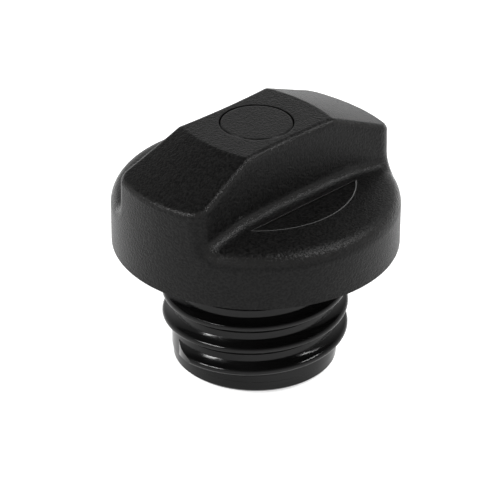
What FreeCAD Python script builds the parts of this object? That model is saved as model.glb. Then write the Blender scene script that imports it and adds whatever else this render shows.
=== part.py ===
"""Screw-in fuel cap: a gripped head that clicks over on a threaded plug, with a two-way vent valve inside.

Frame: millimetres, origin at the centre of the plug's bottom rim, +Z up the screw axis, +X along the grip.
"""
import FreeCAD
import Part
import Sketcher
import math
import os

doc = FreeCAD.newDocument("FuelCap")
V = FreeCAD.Vector

# Driving dimensions
SIZES = {
    # head
    "cap_wall": 2.4,
    "skirt_bottom": 31.5,
    "roof_gap": 0.4,
    "shoulder_drop": 1.8,
    "recess_radius": 23.5,
    "recess_lip": 0.3,
    "recess_margin": 0.75,
    "recess_edge_round": 0.2,
    "recess_depth": 0.4,
    "shoulder_round": 4.0,
    "crease_round": 2.6,
    # grip
    "grip_height": 15.5,
    "plateau_half_length": 15.6,
    "facet_drop": 8.0,
    "facet_crown": 20.0,
    "waist_half_width_low": 12.4,
    "waist_half_width_high": 11.3,
    "end_half_width_low": 14.9,
    "end_half_width_high": 14.4,
    "grip_edge_round": 1.6,
    "grip_roof": 3.6,
    # cover disc
    "disc_radius": 8.5,
    "disc_groove": 0.25,
    "disc_thickness": 1.5,
    "disc_stem_radius": 2.0,
    "disc_barb": 0.6,
    # thread and plug
    "plug_radius": 19.9,
    "nose_radius": 19.6,
    "nose_height": 2.7,
    "plug_bore_radius": 16.4,
    "nose_chamfer": 0.6,
    "thread_crest_radius": 22.2,
    "thread_pitch": 6.0,
    "thread_turns": 3.3,
    "thread_start_height": 5.75,
    "thread_start_angle": 160.0,
    "thread_crest_half": 0.8,
    "thread_crest_rise": 0.5,
    "thread_upper_flank": 1.6,
    "thread_lower_flank": 2.0,
    "thread_flank_round": 4.0,
    "thread_sink": 0.3,
    "thread_lead_in": 26.0,
    "collar_radius": 22.5,
    "collar_cone_bottom": 29.0,
    "seal_seat": 36.4,
    "flange_thickness": 2.4,
    "drum_height": 4.0,
    "drum_wall": 2.0,
    "rim_vent_radius": 0.85,
    # seal and retaining ring
    "seal_thickness": 3.0,
    "seal_width": 5.8,
    "seal_chamfer": 0.75,
    "retainer_seal_gap": 0.9,
    "retainer_width": 2.4,
    "retainer_thickness": 1.7,
    "retainer_groove_depth": 0.45,
    "retainer_gap": 4.0,
    # ratchet
    "ratchet_teeth": 24.0,
    "tooth_tip_radius": 24.4,
    "tooth_depth": 1.2,
    "pawl_ring_inner_radius": 17.6,
    "pawl_ring_outer_radius": 21.0,
    "pawl_arm_thickness": 1.1,
    "key_radius": 1.2,
    "key_circle_radius": 19.3,
    # valve
    "deck_bottom": 19.0,
    "deck_thickness": 3.0,
    "port_radius": 7.5,
    "seat_width": 1.2,
    "seat_height": 0.8,
    "rib_thickness": 1.6,
    "rib_height": 7.0,
    "gasket_thickness": 1.2,
    "gasket_width": 3.2,
    "plate_radius": 12.0,
    "plate_thickness": 2.0,
    "plate_hub_radius": 3.4,
    "plate_hub_height": 1.5,
    "guide_fin_width": 2.4,
    "poppet_head_radius": 5.8,
    "poppet_head_thickness": 1.2,
    "poppet_stem_radius": 1.5,
    "vacuum_seal_thickness": 0.8,
    "vacuum_spring_height": 4.6,
    "clip_thickness": 0.9,
    "clip_radius": 3.4,
    "clip_groove_radius": 1.05,
    "clip_slot_width": 1.9,
    "vacuum_port_radius": 0.9,
    "vacuum_port_circle": 4.6,
    "valve_lift": 2.0,
    "vacuum_lift": 1.5,
    "cover_lid_thickness": 2.0,
    "cover_lid_radius": 18.4,
    "cover_lid_recess": 0.6,
    "cover_centre_radius": 2.4,
    "cover_vent_radius": 1.7,
    "cover_vent_circle": 13.4,
    "pressure_wire_radius": 0.55,
    "pressure_coil_radius": 9.2,
    "pressure_turns": 4.5,
    "vacuum_wire_radius": 0.25,
    "vacuum_coil_radius": 2.3,
    "vacuum_turns": 5.0,
    # clearances
    "running_clearance": 0.1,
    "snug_clearance": 0.05,
    "free_clearance": 0.3,
    "guide_clearance": 0.2,
    "key_clearance": 0.6,
}

sheet = doc.addObject("Spreadsheet::Sheet", "Sizes")
for row, (alias, value) in enumerate(SIZES.items(), start=1):
    sheet.set(f"A{row}", alias)
    sheet.set(f"B{row}", str(value))
    sheet.setAlias(f"B{row}", alias)
doc.recompute()


class Size(str):
    """An expression on the sheet: sums and products of sizes stay expressions."""

    def __add__(self, other):
        return Size(f"({self} + {other})")

    def __radd__(self, other):
        return Size(f"({other} + {self})")

    def __sub__(self, other):
        return Size(f"({self} - {other})")

    def __rsub__(self, other):
        return Size(f"({other} - {self})")

    def __mul__(self, other):
        return Size(f"({self} * {other})")

    def __rmul__(self, other):
        return Size(f"({other} * {self})")

    def __truediv__(self, other):
        return Size(f"({self} / {other})")

    def __rtruediv__(self, other):
        return Size(f"({other} / {self})")

    def __neg__(self):
        return Size(f"(0 - {self})")


def size(alias):
    return Size(f"Sizes.{alias}")


def number(expression):
    """The present value of an expression on the sheet."""
    found = sheet.evalExpression(str(expression))
    return float(getattr(found, "Value", found))


def bind(feature, **properties):
    """Bind properties of a feature to expressions."""
    for name, expression in properties.items():
        feature.setExpression(name, str(expression))


# Levels and radii that pieces share
retainer_inner = size("collar_radius") + size("seal_width") + size("retainer_seal_gap")
skirt_inner = retainer_inner + size("retainer_width")
head_radius = skirt_inner + size("cap_wall")
flange_top = size("seal_seat") + size("flange_thickness")
flange_radius = skirt_inner - size("running_clearance")
drum_top = flange_top + size("drum_height")
roof_under = drum_top + size("roof_gap")
floor_top = roof_under + size("cap_wall")
shoulder_inner = floor_top + size("recess_depth")
shoulder_outer = shoulder_inner - size("shoulder_drop")
grip_top = shoulder_inner + size("grip_height")
facet_end = grip_top - size("facet_drop")
tooth_root_radius = size("tooth_tip_radius") + size("tooth_depth")
retainer_top = size("seal_seat") - size("free_clearance")
retainer_bottom = retainer_top - size("retainer_thickness")
retainer_outer = skirt_inner + size("retainer_groove_depth")
deck_top = size("deck_bottom") + size("deck_thickness")
seat_top = deck_top + size("seat_height")
plate_bottom = seat_top + size("gasket_thickness")
plate_top = plate_bottom + size("plate_thickness")
hub_top = plate_top + size("plate_hub_height")
lid_bottom = flange_top - size("cover_lid_thickness") - size("cover_lid_recess")
lid_top = lid_bottom + size("cover_lid_thickness")
clip_bottom = hub_top + size("vacuum_spring_height")
clip_top = clip_bottom + size("clip_thickness")
disc_floor = grip_top - size("disc_thickness")
cavity_top = grip_top - size("grip_roof")

# Counts and proportions
KEYS = 4
RIBS = 6
RIM_VENTS = 6
PAWLS = 3
LID_VENTS = 8
GUIDE_FINS = 4
VACUUM_PORTS = 6
PAWL_SPAN = 3
PAWL_GAP_DEGREES = 0.7
LEAD_IN_BOW = 0.8
KEY_ANGLE = 45

# How near counts as touching, and how much of an angle still counts as smooth
TOUCH = 0.01
NEAR = 0.5
SMOOTH_DEGREES = 8


def body(label):
    made = doc.addObject("PartDesign::Body", label)
    made.Label = label
    return made


def plane(owner, role):
    return next(o for o in owner.Origin.OriginFeatures if o.Role == role)


def sketch(owner, role, height=None):
    """An empty sketch on one of the body's own planes, lifted by an expression."""
    made = owner.newObject("Sketcher::SketchObject", owner.Label + "_sketch")
    made.AttachmentSupport = [(plane(owner, role), "")]
    made.MapMode = "FlatFace"
    if height is not None:
        made.setExpression("AttachmentOffset.Base.z", str(height))
    return made


def hold(drawing, geometry, end, x, y):
    """Tie a point of a sketch to an expression for each coordinate."""
    for kind, value, axis in (("DistanceX", x, -2), ("DistanceY", y, -1)):
        if str(value) == "0":
            drawing.addConstraint(Sketcher.Constraint("PointOnObject", geometry, end, axis))
            continue
        index = drawing.addConstraint(Sketcher.Constraint(kind, -1, 1, geometry, end, number(value)))
        drawing.setExpression(f"Constraints[{index}]", str(value))


def outline(drawing, points):
    """A closed outline. A point is (x, y), or (x, y, radius) where an arc leads to the next point:
    a positive radius bows the arc to the right of the way along it."""
    spots = [V(number(p[0]), number(p[1]), 0) for p in points]
    first = drawing.GeometryCount
    for i, point in enumerate(points):
        start = spots[i]
        end = spots[(i + 1) % len(spots)]
        if len(point) == 2:
            drawing.addGeometry(Part.LineSegment(start, end))
            continue
        radius = number(point[2])
        chord = end - start
        half = chord.Length / 2
        across = V(chord.y, -chord.x, 0) / chord.Length
        bow = abs(radius) - math.sqrt(radius * radius - half * half)
        middle = (start + end) / 2 + across * math.copysign(bow, radius)
        if radius > 0:
            drawing.addGeometry(Part.Arc(start, middle, end))
        else:
            drawing.addGeometry(Part.Arc(end, middle, start))
    ends = [(2, 1) if len(p) == 3 and number(p[2]) < 0 else (1, 2) for p in points]
    for i, point in enumerate(points):
        after = (i + 1) % len(points)
        drawing.addConstraint(
            Sketcher.Constraint("Coincident", first + i, ends[i][1], first + after, ends[after][0])
        )
        hold(drawing, first + i, ends[i][0], point[0], point[1])
    for i, point in enumerate(points):
        if len(point) == 3:
            index = drawing.addConstraint(
                Sketcher.Constraint("Radius", first + i, abs(number(point[2])))
            )
            drawing.setExpression(f"Constraints[{index}]", f"abs({point[2]})")


def circle(drawing, x, y, radius):
    index = drawing.addGeometry(Part.Circle(V(number(x), number(y), 0), V(0, 0, 1), number(radius)))
    hold(drawing, index, 3, x, y)
    held = drawing.addConstraint(Sketcher.Constraint("Radius", index, number(radius)))
    drawing.setExpression(f"Constraints[{held}]", str(radius))


def turned(owner, points, kind="PartDesign::Revolution"):
    """Turn an outline of (radius, height) points about the screw axis."""
    drawing = sketch(owner, "XZ_Plane")
    outline(drawing, points)
    made = owner.newObject(kind, owner.Label + "_turned")
    made.Profile = drawing
    made.ReferenceAxis = (drawing, ["V_Axis"])
    made.Angle = 360
    return made


def ring(inner, outer, bottom, top):
    return [(inner, bottom), (outer, bottom), (outer, top), (inner, top)]


def spoke(drawing, inner, outer, width):
    """A rectangle along +X between two radii."""
    half = width / 2
    outline(drawing, [(inner, -half), (outer, -half), (outer, half), (inner, half)])


def raised(owner, bottom, top, draw, kind="PartDesign::Pad"):
    """Pad, or cut, what draw puts in a level sketch, from the bottom height to the top height."""
    drawing = sketch(owner, "XY_Plane", bottom)
    draw(drawing)
    made = owner.newObject(kind, owner.Label + "_raised")
    made.Profile = drawing
    bind(made, Length=top - bottom)
    if kind == "PartDesign::Pocket":
        made.Reversed = True
    return made


def around(owner, feature, count):
    """Repeat a feature evenly about the screw axis."""
    made = owner.newObject("PartDesign::PolarPattern", owner.Label + "_pattern")
    made.Originals = [feature]
    axis = next(o for o in owner.Origin.OriginFeatures if o.Role == "Z_Axis")
    made.Axis = (axis, [""])
    made.Angle = 360
    made.Occurrences = count
    owner.Tip = made
    return made


def rounded(owner, base, radius, test):
    """Fillet the edges of a feature that pass a test on the edge."""
    doc.recompute()
    names = [f"Edge{i}" for i, edge in enumerate(base.Shape.Edges, start=1) if test(edge)]
    made = owner.newObject("PartDesign::Fillet", owner.Label + "_round")
    made.Base = (base, names)
    bind(made, Radius=radius)
    return made


def spots_on(edge, count=5):
    """Points along an edge, clear of its ends."""
    first, last = edge.ParameterRange
    return [edge.valueAt(first + (last - first) * (i + 0.5) / count) for i in range(count)]


def radius_of(point):
    return math.hypot(point.x, point.y)


def polar(radius, degrees):
    """A point at a radius and an angle, as a pair of expressions."""
    return (Size(f"({radius} * cos({degrees}))"), Size(f"({radius} * sin({degrees}))"))


def sharp(shape, edge):
    """True where the two faces beside an edge don't run on smoothly."""
    faces = shape.ancestorsOfType(edge, Part.Face)
    if len(faces) < 2:
        return False
    spot = spots_on(edge, 1)[0]
    normals = [face.normalAt(*face.Surface.parameter(spot)) for face in faces[:2]]
    return normals[0].getAngle(normals[1]) > math.radians(SMOOTH_DEGREES)


def waisted(waist, end):
    """The grip's plan: two sides that bow in at the waist, closed across the ends."""
    reach = head_radius + size("cap_wall")
    bow = end - waist
    side = (reach * reach + bow * bow) / (bow * 2)
    return [(-reach, end, side), (reach, end), (reach, -end, side), (-reach, -end)]


def grip_shape(cap):
    """The head's outside: skirt, shoulder, finger recess and the waisted grip with its end facets."""
    reach = head_radius + size("cap_wall")
    turned(cap, [
        ("0", size("skirt_bottom")),
        (reach, size("skirt_bottom")),
        (reach, shoulder_outer),
        (size("recess_radius"), shoulder_inner),
        ("0", shoulder_inner),
    ])
    low = sketch(cap, "XY_Plane", roof_under)
    outline(low, waisted(size("waist_half_width_low"), size("end_half_width_low")))
    high = sketch(cap, "XY_Plane", grip_top)
    outline(high, waisted(size("waist_half_width_high"), size("end_half_width_high")))
    loft = cap.newObject("PartDesign::AdditiveLoft", "grip_loft")
    loft.Profile = low
    loft.Sections = [high]
    loft.Ruled = True
    margin = size("cap_wall")
    turned(cap, ring(head_radius, reach * 2, size("skirt_bottom") - margin,
                     grip_top + margin), "PartDesign::Groove")
    for side in (1, -1):
        cut = crowned_facet(cap, side)
    return cut


def crowned_facet(cap, side):
    """Slope one end of the grip, a little crowned: a cone about an upright axis past the middle."""
    margin = size("cap_wall")
    crown = size("facet_crown")
    drawing = sketch(cap, "XZ_Plane")
    drawing.setExpression("AttachmentOffset.Base.x", str(crown * -side))
    outline(drawing, [
        ((size("plateau_half_length") + crown) * side, grip_top),
        ((head_radius + crown) * side, facet_end),
        ((head_radius + crown + margin) * side, facet_end),
        ((head_radius + crown + margin) * side, grip_top + margin),
        ((size("plateau_half_length") + crown) * side, grip_top + margin),
    ])
    cut = cap.newObject("PartDesign::Groove", "grip_facet")
    cut.Profile = drawing
    cut.ReferenceAxis = (drawing, ["V_Axis"])
    cut.Angle = 360
    return cut


def grip_rounds(cap, base):
    """Round the creases beside the grip, then the edge that runs from the shoulder up its corners."""
    head = number(head_radius)
    shoulder = number(shoulder_inner)
    waist = number(size("waist_half_width_high"))
    end = number(size("end_half_width_low"))
    crease_size = number(size("crease_round"))
    crown_start = number(facet_end - size("grip_edge_round"))

    def crease(edge):
        spots = spots_on(edge)
        beside = all(waist < abs(p.y) < end + NEAR for p in spots)
        level = all(p.z < shoulder + TOUCH and radius_of(p) < head - TOUCH for p in spots)
        return beside and level

    def brim(edge):
        spots = spots_on(edge)
        if any(abs(radius_of(p) - head) > TOUCH for p in spots):
            return False
        climbs = abs(spots[0].z - spots[-1].z) > crease_size
        low = max(p.z for p in spots) < shoulder + crease_size + NEAR
        return (climbs or low) and min(p.z for p in spots) > number(roof_under - size("cap_wall"))

    def crown(edge):
        return min(p.z for p in spots_on(edge)) > crown_start and sharp(brims.Shape, edge)

    creases = rounded(cap, base, size("crease_round"), crease)
    brims = rounded(cap, creases, size("shoulder_round"), brim)
    return rounded(cap, brims, size("grip_edge_round"), crown)


def finger_recesses(cap):
    """A shallow step down on each side of the grip, where the fingers reach under."""
    rim = size("recess_radius") - size("recess_lip")
    edge = size("waist_half_width_low") + size("crease_round") + size("recess_margin")
    half = Size(f"sqrt({rim * rim - edge * edge})")
    for side in (1, -1):
        cut = raised(cap, floor_top, shoulder_inner + size("cap_wall"),
                     lambda drawing: outline(drawing, [(-half * side, -edge * side, rim),
                                                       (half * side, -edge * side)]),
                     "PartDesign::Pocket")
    level = number(shoulder_inner)
    nearest = number(edge) - TOUCH
    furthest = number(rim) + TOUCH

    def lip(edge):
        spots = spots_on(edge)
        flat = all(abs(p.z - level) < TOUCH for p in spots)
        return flat and all(abs(p.y) > nearest and radius_of(p) < furthest for p in spots)

    return rounded(cap, cut, size("recess_edge_round"), lip)


def grip_hollow(cap):
    """The head's inside: skirt space, the hollow under the grip, snap-ring groove and disc seat."""
    margin = size("cap_wall")
    under = size("skirt_bottom") - margin
    turned(cap, [
        ("0", under),
        (skirt_inner, under),
        (skirt_inner, roof_under - margin),
        (skirt_inner - margin, roof_under),
        ("0", roof_under),
    ], "PartDesign::Groove")
    turned(cap, ring(skirt_inner - margin, retainer_outer + size("snug_clearance"),
                     retainer_bottom - size("snug_clearance"),
                     retainer_top + size("snug_clearance")), "PartDesign::Groove")
    end = head_radius - margin * 2
    slope = (grip_top - facet_end) / (head_radius - size("plateau_half_length"))
    end_top = facet_end - size("grip_roof") + slope * (head_radius - end)
    drawing = sketch(cap, "XZ_Plane")
    outline(drawing, [
        (-end, roof_under - margin),
        (end, roof_under - margin),
        (end, end_top),
        (size("plateau_half_length"), cavity_top),
        (-size("plateau_half_length"), cavity_top),
        (-end, end_top),
    ])
    cut = cap.newObject("PartDesign::Pocket", "grip_hollow")
    cut.Profile = drawing
    cut.SideType = "Symmetric"
    bind(cut, Length=(size("waist_half_width_high") - margin) * 2)
    stem_hole = size("disc_stem_radius") + size("free_clearance")
    turned(cap, [
        ("0", cavity_top - margin),
        (stem_hole, cavity_top - margin),
        (stem_hole, disc_floor),
        (size("disc_radius") + size("disc_groove"), disc_floor),
        (size("disc_radius") + size("disc_groove"), grip_top + margin),
        ("0", grip_top + margin),
    ], "PartDesign::Groove")


def key_spot():
    return polar(size("key_circle_radius"), KEY_ANGLE)


def make_grip_cap():
    cap = body("grip_cap")
    grip_rounds(cap, grip_shape(cap))
    finger_recesses(cap)
    grip_hollow(cap)
    key_bottom = flange_top + size("key_clearance")
    key = raised(cap, key_bottom, roof_under + size("free_clearance"),
                 lambda drawing: circle(drawing, *key_spot(), size("key_radius")))
    around(cap, key, KEYS)
    return cap


def make_cover_disc():
    disc = body("cover_disc")
    barb = cavity_top - size("free_clearance")
    tip = barb - size("disc_stem_radius")
    lip = size("disc_groove")
    turned(disc, [
        ("0", tip),
        (size("disc_stem_radius"), tip),
        (size("disc_stem_radius") + size("disc_barb"), barb - lip),
        (size("disc_stem_radius") + size("disc_barb"), barb),
        (size("disc_stem_radius"), barb),
        (size("disc_stem_radius"), disc_floor),
        (size("disc_radius"), disc_floor),
        (size("disc_radius"), grip_top - lip),
        (size("disc_radius") - lip, grip_top),
        ("0", grip_top),
    ])
    return disc


def add_thread(plug):
    """The coarse ridge: a rounded crest between two hollow flanks, swept along a right-hand helix."""
    middle = size("thread_start_height")
    half = size("thread_crest_half")
    rise = size("thread_crest_rise")
    shoulder = size("thread_crest_radius") - rise
    foot = size("plug_radius") - size("thread_sink")
    core = foot - size("cap_wall") / 2
    crest_round = (half * half + rise * rise) / (rise * 2)
    low = middle - half - size("thread_lower_flank")
    high = middle + half + size("thread_upper_flank")
    drawing = sketch(plug, "XZ_Plane")
    drawing.AttachmentOffset = FreeCAD.Placement(V(), FreeCAD.Rotation(V(0, 1, 0), 1))
    drawing.setExpression("AttachmentOffset.Rotation.Angle", str(size("thread_start_angle")))
    outline(drawing, [
        (core, low),
        (foot, low, -size("thread_flank_round")),
        (shoulder, middle - half, crest_round),
        (shoulder, middle + half, -size("thread_flank_round")),
        (foot, high),
        (core, high),
    ])
    thread = plug.newObject("PartDesign::AdditiveHelix", "plug_thread")
    thread.Profile = drawing
    thread.ReferenceAxis = (drawing, ["V_Axis"])
    thread.Mode = "pitch-turns-angle"
    bind(thread, Pitch=size("thread_pitch"), Turns=size("thread_turns"))
    end_angle = size("thread_start_angle") + size("thread_turns") * 360
    end_middle = middle + size("thread_turns") * size("thread_pitch")
    reach = size("thread_crest_radius") + size("cap_wall") * 2
    lead = size("thread_lead_in")
    for angle, height, way in ((size("thread_start_angle"), middle, 1), (end_angle, end_middle, -1)):
        corners = [
            (*polar(size("plug_radius"), angle), size("plug_radius") * way * LEAD_IN_BOW),
            polar(size("thread_crest_radius") + size("free_clearance"), angle + lead * way),
            polar(reach, angle + lead * way),
            polar(reach, angle - lead * way),
        ]
        raised(plug, height - size("thread_pitch") / 2, height + size("thread_pitch") / 2,
               lambda drawing: outline(drawing, corners), "PartDesign::Pocket")


def add_teeth(plug):
    """Saw teeth inside the drum: steep against opening, sloping so that closing slips over them."""
    step = 360 / size("ratchet_teeth")
    inside = size("tooth_tip_radius") - size("tooth_depth")
    gullet = raised(plug, flange_top, drum_top, lambda drawing: outline(drawing, [
        polar(size("tooth_tip_radius"), 0),
        polar(tooth_root_radius, step),
        polar(inside, step),
        polar(inside, 0),
    ]), "PartDesign::Pocket")
    pattern = around(plug, gullet, 1)
    bind(pattern, Occurrences=size("ratchet_teeth"))


def make_screw_plug():
    plug = body("screw_plug")
    drum_outer = tooth_root_radius + size("drum_wall")
    lid_seat = size("cover_lid_radius") + size("snug_clearance")
    seat_outer = size("port_radius") + size("seat_width")
    turned(plug, [
        (size("plug_bore_radius"), "0"),
        (size("nose_radius") - size("nose_chamfer"), "0"),
        (size("nose_radius"), size("nose_chamfer")),
        (size("nose_radius"), size("nose_height")),
        (size("plug_radius"), size("nose_height") + size("plug_radius") - size("nose_radius")),
        (size("plug_radius"), size("collar_cone_bottom")),
        (size("collar_radius"), size("collar_cone_bottom") + size("collar_radius") - size("plug_radius")),
        (size("collar_radius"), size("seal_seat")),
        (flange_radius, size("seal_seat")),
        (flange_radius, flange_top),
        (drum_outer, flange_top),
        (drum_outer, drum_top),
        (size("tooth_tip_radius"), drum_top),
        (size("tooth_tip_radius"), flange_top),
        (lid_seat, flange_top),
        (lid_seat, lid_bottom),
        (size("plug_bore_radius"), lid_bottom),
        (size("plug_bore_radius"), deck_top),
        (seat_outer, deck_top),
        (seat_outer, seat_top),
        (size("port_radius"), seat_top),
        (size("port_radius"), size("deck_bottom")),
        (size("plug_bore_radius"), size("deck_bottom")),
    ])
    add_thread(plug)
    add_teeth(plug)
    inner = size("port_radius") + size("seat_width")
    outer = size("plug_bore_radius") + size("free_clearance")
    rib_bottom = size("deck_bottom") - size("rib_height")
    rib = raised(plug, rib_bottom, size("deck_bottom") + size("free_clearance"),
                 lambda drawing: spoke(drawing, inner, outer, size("rib_thickness")))
    around(plug, rib, RIBS)
    notch = raised(plug, size("seal_seat") - size("free_clearance"), flange_top,
                   lambda drawing: circle(drawing, flange_radius, "0", size("rim_vent_radius")),
                   "PartDesign::Pocket")
    around(plug, notch, RIM_VENTS)
    return plug


def make_neck_seal():
    seal = body("neck_seal")
    bottom = size("seal_seat") - size("seal_thickness")
    outer = size("collar_radius") + size("seal_width")
    lip = size("seal_chamfer")
    turned(seal, [
        (size("collar_radius") + lip, bottom),
        (outer - lip, bottom),
        (outer, bottom + lip),
        (outer, size("seal_seat")),
        (size("collar_radius"), size("seal_seat")),
        (size("collar_radius"), bottom + lip),
    ])
    return seal


def make_retaining_ring():
    keeper = body("retaining_ring")
    turned(keeper, ring(retainer_inner, retainer_outer, retainer_bottom, retainer_top))
    half = size("retainer_gap") / 2
    far = retainer_outer + size("cap_wall")
    raised(keeper, retainer_bottom - size("free_clearance"), retainer_top + size("free_clearance"),
           lambda drawing: outline(drawing, [(-half, "0"), (half, "0"), (half, far), (-half, far)]),
           "PartDesign::Pocket")
    return keeper


def make_ratchet_ring():
    ratchet = body("ratchet_ring")
    bottom = flange_top + size("free_clearance")
    inner = size("pawl_ring_inner_radius")
    outer = size("pawl_ring_outer_radius")
    turned(ratchet, ring(inner, outer, bottom, roof_under))
    hole = raised(ratchet, bottom - size("free_clearance"), roof_under + size("free_clearance"),
                  lambda drawing: circle(drawing, *key_spot(),
                                         size("key_radius") + size("snug_clearance")),
                  "PartDesign::Pocket")
    around(ratchet, hole, KEYS)
    step = 360 / size("ratchet_teeth")
    arm_inner = outer + size("pawl_arm_thickness")
    arm_outer = arm_inner + size("pawl_arm_thickness")
    nose = tooth_root_radius - size("free_clearance")
    root = outer - size("free_clearance")
    lead = step * PAWL_SPAN - PAWL_GAP_DEGREES
    arm = raised(ratchet, bottom, drum_top - size("free_clearance"), lambda drawing: outline(drawing, [
        polar(root, -step / 2),
        (*polar(arm_outer, -step / 2), arm_outer),
        polar(arm_outer, lead - step / 2),
        polar(nose, lead),
        (*polar(arm_inner, lead), -arm_inner),
        polar(arm_inner, 0),
        polar(root, 0),
    ]))
    around(ratchet, arm, PAWLS)
    return ratchet


def make_valve_cover():
    lid = body("valve_cover")
    centre = size("cover_centre_radius")
    boss_outer = size("pressure_coil_radius") - size("pressure_wire_radius") - size("free_clearance")
    boss_inner = boss_outer - size("seat_width")
    boss_bottom = plate_top + size("valve_lift") + size("snug_clearance")
    turned(lid, [
        (centre, lid_bottom),
        (boss_inner, lid_bottom),
        (boss_inner, boss_bottom),
        (boss_outer, boss_bottom),
        (boss_outer, lid_bottom),
        (size("cover_lid_radius"), lid_bottom),
        (size("cover_lid_radius"), lid_top),
        (centre, lid_top),
    ])
    vent = raised(lid, lid_bottom - size("free_clearance"), lid_top + size("free_clearance"),
                  lambda drawing: circle(drawing, size("cover_vent_circle"), "0",
                                         size("cover_vent_radius")),
                  "PartDesign::Pocket")
    around(lid, vent, LID_VENTS)
    return lid


def make_valve_plate():
    disc = body("valve_plate")
    hole = size("poppet_stem_radius") + size("running_clearance")
    turned(disc, [
        (hole, plate_bottom),
        (size("plate_radius"), plate_bottom),
        (size("plate_radius"), plate_top),
        (size("plate_hub_radius"), plate_top),
        (size("plate_hub_radius"), hub_top),
        (hole, hub_top),
    ])
    inner = size("plate_radius") - size("cap_wall") / 2
    outer = size("plug_bore_radius") - size("guide_clearance")
    fin = raised(disc, plate_bottom, plate_top + size("valve_lift"),
                 lambda drawing: spoke(drawing, inner, outer, size("guide_fin_width")))
    around(disc, fin, GUIDE_FINS)
    port = raised(disc, plate_bottom - size("free_clearance"), plate_top + size("free_clearance"),
                  lambda drawing: circle(drawing, size("vacuum_port_circle"), "0",
                                         size("vacuum_port_radius")),
                  "PartDesign::Pocket")
    around(disc, port, VACUUM_PORTS)
    return disc


def make_ring(label, inner, outer, bottom, top):
    made = body(label)
    turned(made, ring(inner, outer, bottom, top))
    return made


def make_vacuum_poppet():
    poppet = body("vacuum_poppet")
    head_top = plate_bottom - size("vacuum_seal_thickness")
    head_bottom = head_top - size("poppet_head_thickness")
    stem = size("poppet_stem_radius")
    top = clip_top + size("clip_thickness")
    turned(poppet, [
        ("0", head_bottom),
        (size("poppet_head_radius"), head_bottom),
        (size("poppet_head_radius"), head_top),
        (stem, head_top),
        (stem, clip_bottom),
        (size("clip_groove_radius"), clip_bottom),
        (size("clip_groove_radius"), clip_top),
        (stem, clip_top),
        (stem, top),
        ("0", top),
    ])
    return poppet


def make_vacuum_clip():
    inner = size("clip_groove_radius") + size("snug_clearance")
    clip = make_ring("vacuum_clip", inner, size("clip_radius"), clip_bottom, clip_top)
    raised(clip, clip_bottom - size("free_clearance"), clip_top + size("free_clearance"),
           lambda drawing: spoke(drawing, "0", size("clip_radius") * 2, size("clip_slot_width")),
           "PartDesign::Pocket")
    return clip


def make_spring(label, wire, coil, turns, bottom, top):
    """A round-wire coil that just touches the levels it works between."""
    spring = body(label)
    drawing = sketch(spring, "XZ_Plane")
    circle(drawing, coil, bottom + wire, wire)
    helix = spring.newObject("PartDesign::AdditiveHelix", label + "_coil")
    helix.Profile = drawing
    helix.ReferenceAxis = (drawing, ["V_Axis"])
    helix.Mode = "height-turns-angle"
    bind(helix, Height=top - bottom - wire * 2, Turns=turns)
    return spring


gasket_inner = size("port_radius") + size("seat_width") / 2 - size("gasket_width") / 2
pieces = [
    make_grip_cap(),
    make_cover_disc(),
    make_screw_plug(),
    make_neck_seal(),
    make_retaining_ring(),
    make_ratchet_ring(),
    make_valve_cover(),
    make_valve_plate(),
    make_ring("valve_gasket", gasket_inner, gasket_inner + size("gasket_width"),
              seat_top, plate_bottom),
    make_spring("valve_spring", size("pressure_wire_radius"), size("pressure_coil_radius"),
                size("pressure_turns"), plate_top, lid_bottom),
    make_vacuum_poppet(),
    make_ring("vacuum_seal", size("poppet_stem_radius") + size("snug_clearance"),
              size("poppet_head_radius"), plate_bottom - size("vacuum_seal_thickness"), plate_bottom),
    make_spring("vacuum_spring", size("vacuum_wire_radius"), size("vacuum_coil_radius"),
                size("vacuum_turns"), hub_top, clip_bottom),
    make_vacuum_clip(),
]
doc.recompute()

faulty = [o.Label for o in doc.Objects if {"Invalid", "Error"} & set(o.State)]
faulty += [p.Label for p in pieces if p.Shape.isNull() or not p.Shape.isValid() or len(p.Shape.Solids) != 1]
if faulty:
    raise RuntimeError("faulty: " + ", ".join(faulty))

os.makedirs("parts", exist_ok=True)
for piece in pieces:
    piece.Shape.exportStep(f"parts/{piece.Label}.step")
    print(piece.Label, "volume", round(piece.Shape.Volume), "mm3")
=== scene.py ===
# %% [markdown]
# # A screw-in fuel cap, dressed in Blender
# The shape of this cap was built in CAD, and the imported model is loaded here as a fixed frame.
# So this lesson is mostly about light and finishes: how black plastic is told apart from other
# black plastic by its grain, its gloss and what it mirrors. Two springs that have to get shorter,
# and a few marks of the moulding trade that are too small for the CAD model, are made by hand.

# %% Load the frame
import math

import bpy
from mathutils import Matrix, Vector


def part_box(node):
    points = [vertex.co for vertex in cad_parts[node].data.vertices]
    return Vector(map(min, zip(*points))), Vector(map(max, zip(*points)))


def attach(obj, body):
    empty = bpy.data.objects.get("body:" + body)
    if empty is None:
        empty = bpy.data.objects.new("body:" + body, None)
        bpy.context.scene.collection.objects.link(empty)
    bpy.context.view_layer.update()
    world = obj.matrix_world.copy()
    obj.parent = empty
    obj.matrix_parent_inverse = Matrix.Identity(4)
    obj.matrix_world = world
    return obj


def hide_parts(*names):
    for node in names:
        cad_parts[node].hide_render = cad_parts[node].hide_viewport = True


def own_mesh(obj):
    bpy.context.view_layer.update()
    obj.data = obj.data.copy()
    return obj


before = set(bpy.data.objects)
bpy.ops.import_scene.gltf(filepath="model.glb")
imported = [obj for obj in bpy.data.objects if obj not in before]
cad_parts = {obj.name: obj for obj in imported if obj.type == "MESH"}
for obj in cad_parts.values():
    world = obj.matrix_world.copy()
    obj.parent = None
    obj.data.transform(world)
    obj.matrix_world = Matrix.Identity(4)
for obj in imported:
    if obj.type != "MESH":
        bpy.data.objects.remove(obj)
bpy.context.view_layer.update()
bpy.ops.object.select_all(action="DESELECT")
MM = 0.001
scene = bpy.context.scene
scene.view_settings.view_transform = "Standard"
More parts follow.
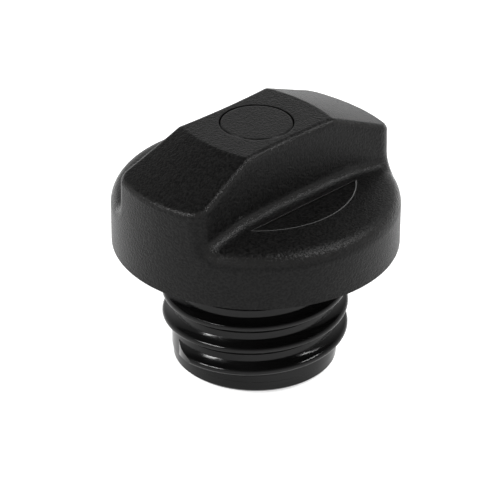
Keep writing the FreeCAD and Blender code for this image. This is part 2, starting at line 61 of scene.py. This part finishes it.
print("pieces:", ", ".join(sorted(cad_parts)))

# %% [markdown]
# ## The camera
# The photograph is taken with a long lens from in front and a little above, so the cap's upright
# lines stay upright. A long lens far away is used here too: a short lens close by would show
# the same outline only by chance. The camera looks a little below the middle of the cap,
# which puts the cap where the picture has it, and no lens shift is needed.

# %% Camera
CAMERA_PLACE = Vector((-0.4232, -0.4232, 0.3752))
CAMERA_AIM = Vector((-0.00323, -0.00138, 0.02926))
CAMERA_ROLL = 0.0071
CAMERA_LENS = 210.7
SENSOR_WIDTH = 36.0
NEAREST_SEEN = 0.01
FARTHEST_SEEN = 50.0


def looking(place, aim, roll=0.0):
    """The turn that points an object's -Z axis from a place to an aim."""
    return (aim - place).to_track_quat("-Z", "Y") @ Matrix.Rotation(roll, 3, "Z").to_quaternion()


bpy.ops.object.camera_add(location=CAMERA_PLACE)
camera = bpy.context.object
camera.name = "photo_camera"
camera.rotation_euler = looking(CAMERA_PLACE, CAMERA_AIM, CAMERA_ROLL).to_euler()
camera.data.lens = CAMERA_LENS
camera.data.sensor_width = SENSOR_WIDTH
camera.data.clip_start = NEAREST_SEEN
camera.data.clip_end = FARTHEST_SEEN
scene.camera = camera
print("camera", round((CAMERA_PLACE - CAMERA_AIM).length, 3), "m away")

# %% [markdown]
# ## Writing shader maths as sums
# A node tree is a drawing of a formula. Placing each Math node by hand hides the formula, so a
# small class wraps a socket and lets Python's own signs add the nodes. Everything that isn't
# plain maths comes from one method, which takes the node's type, its settings and its sockets.


# %% Wires
class Wire:
    """A node's output. Sums and products of wires add Math nodes to the tree."""

    def __init__(self, tree, socket):
        self.tree = tree
        self.socket = socket

    def maths(self, operation, first, second):
        return self.tree.add("ShaderNodeMath", {"operation": operation}, {0: first, 1: second})

    def beside(self, name):
        """Another output of the node that this wire comes from."""
        return Wire(self.tree, self.socket.node.outputs[name])

    def __add__(self, other):
        return self.maths("ADD", self, other)

    def __radd__(self, other):
        return self.maths("ADD", other, self)

    def __sub__(self, other):
        return self.maths("SUBTRACT", self, other)

    def __mul__(self, other):
        return self.maths("MULTIPLY", self, other)

    def __rmul__(self, other):
        return self.maths("MULTIPLY", other, self)

    def __abs__(self):
        return self.tree.add("ShaderNodeMath", {"operation": "ABSOLUTE"}, {0: self})


# %% Trees and finishes
class Tree:
    """The nodes of one material or of the world."""

    def __init__(self, owner):
        owner.use_nodes = True
        self.nodes = owner.node_tree.nodes
        self.links = owner.node_tree.links
        self.nodes.clear()

    def add(self, kind, settings, sockets, out=0):
        """Make a node: its settings first, then the values or wires of its sockets."""
        node = self.nodes.new(kind)
        for name, value in settings.items():
            setattr(node, name, value)
        for name, value in sockets.items():
            if isinstance(value, Wire):
                self.links.new(value.socket, node.inputs[name])
            else:
                node.inputs[name].default_value = value
        return Wire(self, node.outputs[out]) if node.outputs else node

    def place(self):
        """A point of the piece in millimetres, so that a scale of 1 is one pattern per millimetre."""
        spot = self.add("ShaderNodeTexCoord", {}, {}, "Object")
        return self.add("ShaderNodeVectorMath", {"operation": "SCALE"}, {0: spot, "Scale": 1 / MM})

    def upward(self, vector):
        """The Z part of a vector. X and Y are beside it."""
        return self.add("ShaderNodeSeparateXYZ", {}, {"Vector": vector}, "Z")

    def stretched(self, place, scale):
        return self.add("ShaderNodeMapping", {}, {"Vector": place, "Scale": scale})

    def noise(self, place, scale, detail=2.0, roughness=0.5):
        return self.add("ShaderNodeTexNoise", {}, {
            "Vector": place, "Scale": scale, "Detail": detail, "Roughness": roughness})

    def cells(self, place, scale, feature="F1"):
        sockets = {"Vector": place, "Scale": scale}
        return self.add("ShaderNodeTexVoronoi", {"feature": feature}, sockets, "Distance")

    def between(self, value, low, high, to_low=0.0, to_high=1.0):
        return self.add("ShaderNodeMapRange", {"clamp": True}, {
            "Value": value, "From Min": low, "From Max": high, "To Min": to_low, "To Max": to_high})

    def blend(self, factor, first, second):
        """Mix two colours."""
        return self.add("ShaderNodeMix", {"data_type": "RGBA"}, {0: factor, 6: first, 7: second}, 2)

    def bump(self, height, strength, distance):
        return self.add("ShaderNodeBump", {}, {"Strength": strength, "Distance": distance, "Height": height})


def finish(name, build):
    """A material whose surface sockets come from a function that draws its pattern."""
    made = bpy.data.materials.new(name)
    tree = Tree(made)
    surface = tree.add("ShaderNodeBsdfPrincipled", {}, build(tree))
    tree.add("ShaderNodeOutputMaterial", {}, {"Surface": surface})
    print("finish", name, "with", len(tree.nodes), "nodes")
    return made


def grey(value, warm=0.0):
    """A colour near grey, a little warmer or cooler."""
    return (value * (1.0 + warm), value, value * (1.0 - warm), 1.0)


# %% [markdown]
# ## Painted highlights where the head turns
# Where the head's surface turns from level to upright, and on the thin lip of the finger recesses, the colour
# is painted paler as a highlight. The turns are also made glossier, as if hands had rubbed the grain
# smoother. Such places could be painted by hand. The slope of the surface finds all the turns at once, and
# the lip is found by its distance from the axis and its height.
# The groove round the disc is left alone: its edges are cut clean, so that it stays a thin dark line.

# %% Masks for the head
LIP_RADIUS = 23.2
LIP_HALF_WIDTH = 0.40
LIP_HEIGHT = 45.9
LIP_HALF_HEIGHT = 0.2
LIP_HEIGHT_END = 0.3
LIP_START = 15.7
LIP_FADE = 0.5
DISC_RADIUS = 8.5
GROOVE_HALF = 0.3
GROOVE_FADE = 0.2
TURN_MASK_FROM = 10.5
TURN_STARTS = (0.22, 0.45)
TURN_ENDS = (0.70, 0.86)
PATCH_SCALE = 0.3
PATCH_RANGE = (0.25, 0.65)
LEAST_TURN_MASK = 0.55


def from_axis(tree, place):
    """How far a point is from the screw axis."""
    flat = tree.add("ShaderNodeVectorMath", {"operation": "MULTIPLY"}, {0: place, 1: (1.0, 1.0, 0.0)})
    return tree.add("ShaderNodeVectorMath", {"operation": "LENGTH"}, {0: flat}, "Value")


def lip_highlight(tree, place, radius):
    """One along the rounded lip of the finger recesses, where a pale highlight is painted, fading out over a
    fraction of a millimetre.
    """
    height = tree.upward(place)
    near = tree.between(abs(radius - LIP_RADIUS), 0.0, LIP_HALF_WIDTH, 1.0, 0.0)
    level = tree.between(abs(height - LIP_HEIGHT), LIP_HALF_HEIGHT, LIP_HEIGHT_END, 1.0, 0.0)
    return near * level * tree.between(abs(height.beside("Y")), LIP_START, LIP_START + LIP_FADE)


def turns_highlight_and_polish(tree, place, radius):
    """One where the surface leans between upright and level, in patches, but not near the disc: there a
    highlight is painted paler and the gloss is raised.
    """
    lean = tree.upward(tree.add("ShaderNodeTexCoord", {}, {}, "Normal"))
    turn = tree.between(lean, *TURN_STARTS) * tree.between(lean, *TURN_ENDS, 1.0, 0.0)
    reached = tree.between(radius, TURN_MASK_FROM, TURN_MASK_FROM + LIP_FADE)
    return turn * reached * tree.between(tree.noise(place, PATCH_SCALE), *PATCH_RANGE, LEAST_TURN_MASK, 1.0)


def off_groove(tree, radius):
    """Zero at the groove round the disc, and one a little way off."""
    return tree.between(abs(radius - DISC_RADIUS), GROOVE_HALF, GROOVE_HALF + GROOVE_FADE)


# %% [markdown]
# ## Grained black plastic
# The head is moulded in a tool whose steel was spark-eroded, which leaves fine shallow pits all over.
# That grain is what makes the plastic look soft and dark grey instead of wet. It could be modelled, but
# pits half a millimetre wide are a job for bump. Two sizes of pit are mixed, with a slow drift in
# gloss from handling and a rare pale speck of dust.

# %% Head plastic
PIT_SCALE = 2.0
PIT_SHARE = 0.6
FINE_SCALE = 4.8
FINE_SHARE = 0.5
GRAIN_MIDDLE = 0.2
GRAIN_DEPTH = 0.15 * MM
DRIFT_SCALE = 0.09
SPECK_SCALE = 0.23
SPECK_SIZE = (0.02, 0.035)
SPECK_CHANCE = (0.93, 0.94)
HEAD_WARMTH = 0.02
PEAK_RANGE = (0.38, 0.60)
PIT_BLACK = grey(0.0)
PEAK_BLACK = grey(0.0068, HEAD_WARMTH)
# Painted highlight: the paler grey of the turns.
TURN_HIGHLIGHT_GREY = grey(0.013, HEAD_WARMTH)
# Painted highlight: the pale grey line on the lip.
LIP_HIGHLIGHT_GREY = grey(0.20)
DUST_GREY = grey(0.30)


def dust_specks(tree, place):
    """One on the few cells that hold a speck of dust, near the cell's middle."""
    specks = tree.cells(place, SPECK_SCALE)
    chance = tree.add("ShaderNodeSeparateColor", {}, {"Color": specks.beside("Color")})
    return tree.between(specks, *SPECK_SIZE, 1.0, 0.0) * tree.between(chance, *SPECK_CHANCE)


def grained_black(tree):
    place = tree.place()
    radius = from_axis(tree, place)
    grain = tree.cells(place, PIT_SCALE, "SMOOTH_F1") * PIT_SHARE + tree.noise(place, FINE_SCALE) * FINE_SHARE
    drift = tree.noise(place, DRIFT_SCALE, 3.0)
    turns = turns_highlight_and_polish(tree, place, radius)
    black = tree.blend(tree.between(grain, *PEAK_RANGE), PIT_BLACK, PEAK_BLACK)
    # The turns are painted paler, as a highlight.
    turn_highlit = tree.blend(turns, black, TURN_HIGHLIGHT_GREY)
    # The lip is painted pale, as a thin highlight line.
    lip_highlit = tree.blend(lip_highlight(tree, place, radius), turn_highlit, LIP_HIGHLIGHT_GREY)
    relief = (grain - GRAIN_MIDDLE) * off_groove(tree, radius)
    return {
        "Base Color": tree.blend(dust_specks(tree, place), lip_highlit, DUST_GREY),
        "Roughness": 0.27 + 0.06 * drift + 0.10 * grain - 0.13 * turns,
        "Specular IOR Level": 0.12,
        "Normal": tree.bump(relief, 1.0, GRAIN_DEPTH),
    }


head_plastic = finish("grained_black_plastic", grained_black)

# %% [markdown]
# ## Polished black plastic
# The threaded plug comes out of a polished tool, because a thread has to slide. It mirrors the table
# and the head above it. A perfect mirror would look like glass, so the gloss is broken by a slow wave
# from shrinkage and by rub marks that run round the thread, as a neck leaves them.

# %% Plug plastic
WAVE_SCALE = 0.16
RUB_STRETCH = (0.05, 0.05, 9.0)
RUB_RANGE = (0.52, 0.75)
PLUG_GRAIN = 5.0
POLISH_DEPTH = 0.05 * MM


def polished_black(tree):
    place = tree.place()
    wave = tree.noise(place, WAVE_SCALE)
    rubs = tree.noise(tree.stretched(place, RUB_STRETCH), 1.0, 3.0, 0.6)
    marks = tree.between(rubs, *RUB_RANGE)
    fine = tree.noise(place, PLUG_GRAIN)
    return {
        "Base Color": tree.blend(wave, grey(0.0026), grey(0.0042)),
        "Roughness": 0.11 + 0.06 * wave + 0.10 * marks,
        "Specular IOR Level": 0.20,
        "Normal": tree.bump(wave * 3.0 + marks * 0.2 + fine * 0.06, 0.12, POLISH_DEPTH),
    }


plug_plastic = finish("polished_black_plastic", polished_black)

# %% [markdown]
# ## Rubber, acetal and spring wire
# The pieces inside are seen only from below or through the bore, but each has its own trade. The seals
# are fuel-proof rubber, dull with a chalky bloom. The ratchet and the valve are acetal, which is milky
# white when it isn't dyed. The springs are drawn wire, with fine lines along the wire.

# %% Rubber and acetal
BLOOM_SCALE = 0.35
RUBBER_GRAIN = 5.0
RUBBER_DEPTH = 0.06 * MM
CLOUD_SCALE = 0.2
MILKY_DARK = (0.60, 0.58, 0.52, 1.0)
MILKY_PALE = (0.72, 0.71, 0.67, 1.0)
MILKY_REACH = (0.002, 0.002, 0.0015)
MOULD_GRAIN = 6.0
MOULD_DEPTH = 0.05 * MM


def bloomed_rubber(tree):
    place = tree.place()
    bloom = tree.noise(place, BLOOM_SCALE, 4.0, 0.6)
    return {
        "Base Color": tree.blend(bloom, grey(0.010), grey(0.030, 0.03)),
        "Roughness": 0.62 + 0.22 * bloom,
        "Specular IOR Level": 0.35,
        "Normal": tree.bump(tree.noise(place, RUBBER_GRAIN), 0.2, RUBBER_DEPTH),
    }


def milky_acetal(tree):
    place = tree.place()
    cloud = tree.noise(place, CLOUD_SCALE, 3.0)
    return {
        "Base Color": tree.blend(cloud, MILKY_DARK, MILKY_PALE),
        "Roughness": 0.30 + 0.14 * cloud,
        "Subsurface Weight": 0.15,
        "Subsurface Radius": MILKY_REACH,
        "Normal": tree.bump(tree.noise(place, MOULD_GRAIN), 0.1, MOULD_DEPTH),
    }


seal_rubber = finish("bloomed_rubber", bloomed_rubber)
natural_acetal = finish("milky_acetal", milky_acetal)

# %% Snap ring and spring wire
RING_WAVE_SCALE = 0.25
WIRE_STRETCH = (1.0, 1.0, 14.0)
WIRE_LINE_SCALE = 1.5
WIRE_DEPTH = 0.04 * MM
STAIN_SCALE = 0.4
STEEL_DARK = (0.40, 0.39, 0.37, 1.0)
STEEL_PALE = (0.58, 0.57, 0.55, 1.0)


def ring_black(tree):
    place = tree.place()
    wave = tree.noise(place, RING_WAVE_SCALE)
    return {
        "Base Color": tree.blend(wave, grey(0.012), grey(0.020)),
        "Roughness": 0.30 + 0.12 * wave,
        "Normal": tree.bump(tree.noise(place, MOULD_GRAIN), 0.12, MOULD_DEPTH),
    }


def drawn_wire(tree):
    place = tree.place()
    lines = tree.noise(tree.stretched(place, WIRE_STRETCH), WIRE_LINE_SCALE, 3.0)
    stain = tree.noise(place, STAIN_SCALE, 3.0)
    return {
        "Base Color": tree.blend(stain, STEEL_DARK, STEEL_PALE),
        "Metallic": 1.0,
        "Roughness": 0.22 + 0.18 * lines,
        "Normal": tree.bump(lines, 0.08, WIRE_DEPTH),
    }


ring_plastic = finish("smooth_black_plastic", ring_black)
spring_steel = finish("drawn_spring_wire", drawn_wire)

# %% [markdown]
# ## Giving each piece its finish
# The pieces of the frame already have a plain material in their slots. The slots are reassigned, and
# the meshes are left as they came.

# %% Assign the finishes
WORN_BY = {
    "grip_cap": head_plastic,
    "cover_disc": head_plastic,
    "screw_plug": plug_plastic,
    "neck_seal": seal_rubber,
    "valve_gasket": seal_rubber,
    "vacuum_seal": seal_rubber,
    "retaining_ring": ring_plastic,
    "ratchet_ring": natural_acetal,
    "valve_cover": natural_acetal,
    "valve_plate": natural_acetal,
    "vacuum_poppet": natural_acetal,
    "vacuum_clip": spring_steel,
}
for name, made in WORN_BY.items():
    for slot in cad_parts[name].material_slots:
        slot.material = made
print(len(WORN_BY), "pieces dressed")

# %% [markdown]
# ## The two coil springs
# A spring can't follow a joint as a stiff piece does: it gets shorter. The frame's own springs keep their
# length, so each is hidden and replaced by a coil of wire that is attached to a body of the frame. A coil
# could be bent from a curve, but the
# Screw modifier does just what a coiling machine does: it takes the round wire, turns it about the axis and
# lifts it at the same time.

# %% Winding a coil
WIRE_SIDES = 16
STEPS_PER_TURN = 44
COIL_SMOOTH = math.radians(40)


def coil_spring(node, wire, turns):
    """Wind a coil in the space that a node of the frame holds, from the wire's radius and its turns."""
    low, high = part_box(node)
    reach = (high[0] - low[0]) / 2
    bpy.ops.object.select_all(action="DESELECT")
    bpy.ops.mesh.primitive_circle_add(
        vertices=WIRE_SIDES, radius=wire, location=(reach - wire, 0.0, low[2] + wire),
        rotation=(math.pi / 2, 0.0, 0.0))
    coil = bpy.context.object
    coil.name = node.replace("spring", "coil")
    bpy.ops.object.transform_apply(location=True, rotation=True, scale=True)
    winding = coil.modifiers.new("winding", "SCREW")
    winding.angle = turns * math.tau
    winding.screw_offset = high[2] - low[2] - wire * 2
    winding.steps = round(turns * STEPS_PER_TURN)
    winding.render_steps = winding.steps
    bpy.ops.object.modifier_apply(modifier=winding.name)
    bpy.ops.object.mode_set(mode="EDIT")
    bpy.ops.mesh.select_all(action="SELECT")
    bpy.ops.mesh.fill_holes(sides=0)
    bpy.ops.mesh.select_all(action="SELECT")
    bpy.ops.mesh.normals_make_consistent(inside=False)
    bpy.ops.object.mode_set(mode="OBJECT")
    bpy.ops.object.shade_smooth_by_angle(angle=COIL_SMOOTH)
    coil.data.materials.append(spring_steel)
    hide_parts(node)
    print(coil.name, "has", len(coil.data.polygons), "faces")
    return coil


# %% Coil springs
PRESSURE_TRAVEL = 2.0 * MM
PRESSURE_WIRE = 0.55 * MM
PRESSURE_TURNS = 4.5
VACUUM_TRAVEL = 1.5 * MM
VACUUM_WIRE = 0.25 * MM
VACUUM_TURNS = 5.0
LOW_END = 0
HIGH_END = 1
for node, body, joint, travel, wire, turns, held in (
        ("valve_spring", "plug", "pressure_lift",
         PRESSURE_TRAVEL, PRESSURE_WIRE, PRESSURE_TURNS, HIGH_END),
        ("vacuum_spring", "pressure_valve", "vacuum_drop",
         VACUUM_TRAVEL, VACUUM_WIRE, VACUUM_TURNS, LOW_END)):
    coil = coil_spring(node, wire, turns)
    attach(coil, body)
    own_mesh(coil)

# %% [markdown]
# ## Marks of the moulding tool
# A moulded piece keeps small scars where plastic came in and where pins pushed it out of the tool. Here
# they are under the valve deck and in the middle of the vacuum valve. They could be drawn in a bump, but a
# scar that stands proud catches light at its rim, so they are modelled: a short cylinder, its free
# face inset and pushed in, and its rim bevelled.

# %% Making a mark
MARK_SIDES = 40
MARK_SINK = 0.15 * MM
MARK_SMOOTH = math.radians(35)
RIM_BEVEL = 0.06 * MM
RIM_SHARE = 0.3
DISH_SHARE = 0.12
LOOKS_DOWN = -0.9


def select_underside(piece):
    """Go to edit mode with only the face that looks down selected."""
    bpy.ops.object.mode_set(mode="EDIT")
    bpy.ops.mesh.select_mode(type="FACE")
    bpy.ops.mesh.select_all(action="DESELECT")
    bpy.ops.object.mode_set(mode="OBJECT")
    for face in piece.data.polygons:
        face.select = face.normal.z < LOOKS_DOWN
    bpy.ops.object.mode_set(mode="EDIT")


def tool_mark(name, place, radius, height, dish):
    """A round scar on a face that looks down: a low drum with a dished middle and a soft rim."""
    bpy.ops.object.select_all(action="DESELECT")
    middle = Vector(place) + Vector((0.0, 0.0, (MARK_SINK - height) / 2))
    bpy.ops.mesh.primitive_cylinder_add(
        vertices=MARK_SIDES, radius=radius, depth=height + MARK_SINK, location=middle)
    mark = bpy.context.object
    mark.name = name
    select_underside(mark)
    bpy.ops.mesh.bevel(offset=RIM_BEVEL, segments=2, affect="EDGES")
    bpy.ops.object.mode_set(mode="OBJECT")
    select_underside(mark)
    bpy.ops.mesh.inset(thickness=radius * RIM_SHARE, depth=0.0)
    bpy.ops.mesh.inset(thickness=radius * DISH_SHARE, depth=-dish)
    bpy.ops.object.mode_set(mode="OBJECT")
    bpy.ops.object.transform_apply(location=True, rotation=True, scale=True)
    bpy.ops.object.shade_smooth_by_angle(angle=MARK_SMOOTH)
    return mark


def settle(mark, body, made):
    """Give a mark its finish, and let it move with the piece that it is on."""
    mark.data.materials.clear()
    mark.data.materials.append(made)
    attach(mark, body)
    print(mark.name, "with", len(mark.data.polygons), "faces on", body)


# %% Gate scar and pin marks
GATE_RADIUS = 0.9 * MM
GATE_HEIGHT = 0.35 * MM
GATE_DISH = 0.12 * MM
poppet_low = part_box("vacuum_poppet")[0]
gate_scar = tool_mark("gate_scar", (0.0, 0.0, poppet_low[2]), GATE_RADIUS, GATE_HEIGHT, GATE_DISH)
settle(gate_scar, "vacuum_valve", natural_acetal)

DECK_UNDERSIDE = 19.0 * MM
PIN_CIRCLE = 12.6 * MM
PIN_RADIUS = 1.5 * MM
PIN_HEIGHT = 0.2 * MM
PIN_DISH = 0.1 * MM
PINS = 6
for pin in range(PINS):
    turn = math.tau * (pin + 0.5) / PINS
    spot = (PIN_CIRCLE * math.cos(turn), PIN_CIRCLE * math.sin(turn), DECK_UNDERSIDE)
    pin_mark = tool_mark(f"pin_mark_{pin + 1}", spot, PIN_RADIUS, PIN_HEIGHT, PIN_DISH)
    settle(pin_mark, "plug", plug_plastic)

# %% [markdown]
# ## Floor, backdrop and light
# A black object shows its form only by what it mirrors. The table and the low surroundings are white, so
# surfaces that are seen at a slant turn grey, and the space overhead is dim, so the faces that look up at
# it stay black. Two soft boxes draw the thin bright lines along the rounded edges. The floor adds its
# own white only for rays from the camera and mirror rays, so the object isn't lit by it twice.

# %% Floor
FLOOR_SIZE = 6.0
FLOOR_GAP = 0.05 * MM
FLOOR_GLOW = 0.58
FLOOR_GREY = grey(0.78)
WHITE = grey(1.0)


def mirror_or_camera(tree):
    """One for rays that come from the camera or by way of a mirror or glass."""
    seen = tree.add("ShaderNodeLightPath", {}, {}, "Is Camera Ray")
    return tree.between(seen + seen.beside("Is Glossy Ray") + seen.beside("Is Transmission Ray"), 0.0, 1.0)


def pale_floor(tree):
    return {
        "Base Color": FLOOR_GREY,
        "Roughness": 0.9,
        "Specular IOR Level": 0.1,
        "Emission Color": WHITE,
        "Emission Strength": mirror_or_camera(tree) * FLOOR_GLOW,
    }


bpy.ops.mesh.primitive_plane_add(size=FLOOR_SIZE, location=(0.0, 0.0, -FLOOR_GAP))
floor = bpy.context.object
floor.name = "pale_floor"
floor.data.materials.append(finish("pale_floor", pale_floor))
print("floor", FLOOR_SIZE, "m wide")

# %% Backdrop
HORIZON = 0.95
OVERHEAD = 0.10
BAND_LOW = 0.30
BAND_HIGH = 0.75
world = scene.world or bpy.data.worlds.new("studio")
scene.world = world
sky = Tree(world)
height = sky.upward(sky.add("ShaderNodeTexCoord", {}, {}, "Generated"))
level = sky.between(height, BAND_LOW, BAND_HIGH, HORIZON, OVERHEAD)
light = sky.add("ShaderNodeBackground", {}, {"Color": WHITE, "Strength": level})
sky.add("ShaderNodeOutputWorld", {}, {"Surface": light})
print("backdrop from", HORIZON, "at the horizon to", OVERHEAD, "overhead")

# %% Lamps
LAMP_AIM = Vector((0.0, 0.0, 0.03))
SOFT_BOXES = {
    "left_soft_box": (Vector((-0.83, 0.33, 0.86)), 0.55, 0.16, 10.5),
    "right_soft_box": (Vector((0.48, -0.47, 0.99)), 0.42, 0.24, 10.0),
}
for name, (place, width, depth, power) in SOFT_BOXES.items():
    bpy.ops.object.light_add(type="AREA", location=place)
    lamp = bpy.context.object
    lamp.name = name
    lamp.data.shape = "RECTANGLE"
    lamp.data.size = width
    lamp.data.size_y = depth
    lamp.data.energy = power
    lamp.rotation_euler = looking(place, LAMP_AIM).to_euler()
    print(name, "gives", power, "W")
